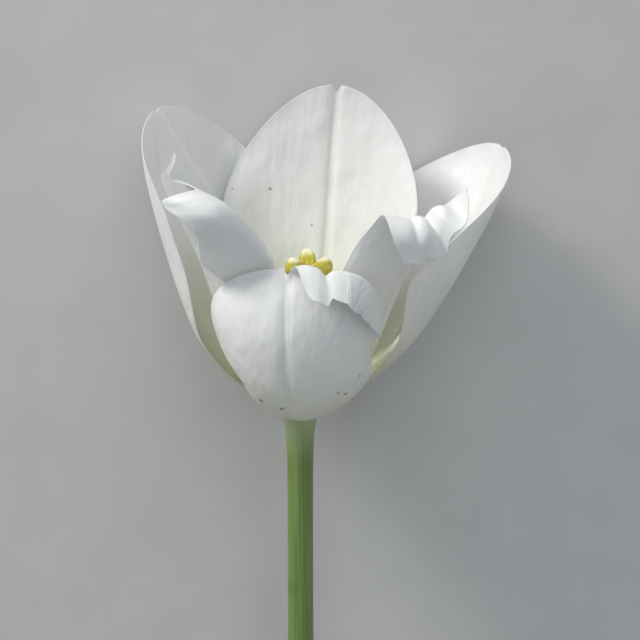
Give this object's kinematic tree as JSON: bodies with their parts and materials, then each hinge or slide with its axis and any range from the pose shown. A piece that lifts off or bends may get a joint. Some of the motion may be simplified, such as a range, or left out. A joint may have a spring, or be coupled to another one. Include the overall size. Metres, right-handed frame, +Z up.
{
  "type": "cut white tulip flower",
  "caption": "Cut white tulip lying on its back: an open bloom with curled petal tips round an olive pistil and cream stamens, on a bare green stem.",
  "frame": {"origin": "on the surface that the flower lies on, under the middle of its bounding box", "axes": "+Z up from that surface; +Y along the lying flower, from the cut end of the stem towards the mouth of the bloom; +X to the right for someone who looks down on it with the bloom away from them"},
  "size_m": [0.0856, 0.2736, 0.0709],
  "materials": {
    "petal_white": "satin, thin white petal tissue",
    "stem_green": "satin, smooth fresh stem",
    "pistil_olive": "soft, slightly waxy",
    "stamen_cream": "matte, powdery"
  },
  "bodies": {
    "root": {"stem": "stem_green", "petal_rear_inner": "petal_white", "petal_left_outer": "petal_white", "petal_right_outer": "petal_white", "petal_left_inner": "petal_white", "petal_right_inner": "petal_white", "petal_front_outer": "petal_white", "pistil": "pistil_olive", "stamen_front": "stamen_cream", "stamen_front_right": "stamen_cream", "stamen_rear_right": "stamen_cream", "stamen_rear": "stamen_cream", "stamen_rear_left": "stamen_cream", "stamen_front_left": "stamen_cream"}
  },
  "joints": []
}
